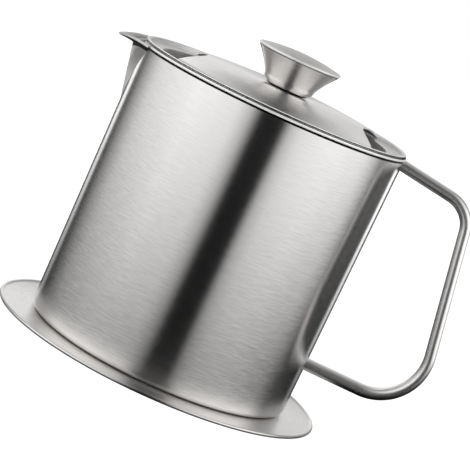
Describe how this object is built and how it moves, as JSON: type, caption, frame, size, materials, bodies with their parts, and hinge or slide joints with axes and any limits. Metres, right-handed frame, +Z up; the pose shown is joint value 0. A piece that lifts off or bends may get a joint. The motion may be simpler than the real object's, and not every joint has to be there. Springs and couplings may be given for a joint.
{
  "type": "grease container",
  "caption": "Steel strainer pot for bacon grease with a pour spout, a bar handle, a lift-out strainer, a notched flat-topped lid with a flared knob, and a flat drip tray.",
  "frame": {"origin": "middle of the tray's flat underside, under the pot's axis", "axes": "+Z up along the pot's axis, +X towards the handle, the pour spout points to -X"},
  "size_m": [0.1832, 0.148, 0.1463],
  "materials": {
    "brushed_shell": "brushed round the axis",
    "polished_trim": "polished",
    "handle_steel": "satin polished along the bar",
    "wire_net": "plain wire",
    "fastener": "bright"
  },
  "bodies": {
    "tray_body": {"tray": "brushed_shell"},
    "pot": {"pot_body": "brushed_shell", "pour_spout": "brushed_shell", "handle_bar": "handle_steel"},
    "strainer": {"strainer_cup": "polished_trim", "strainer_net": "wire_net", "net_ring": "polished_trim"},
    "lid": {"lid_shell": "brushed_shell", "knob_body": "polished_trim", "knob_cap": "brushed_shell", "knob_screw": "fastener", "screw_washer": "fastener"}
  },
  "joints": [
    {"name": "pot_lift", "type": "slide", "parent": "tray_body", "child": "pot", "axis": [0, 0, 1], "range_m": [0, 0.06]},
    {"name": "strainer_lift", "type": "slide", "parent": "pot", "child": "strainer", "axis": [0, 0, 1], "range_m": [0, 0.05]},
    {"name": "lid_lift", "type": "slide", "parent": "strainer", "child": "lid", "axis": [0, 0, 1], "range_m": [0, 0.04]}
  ]
}
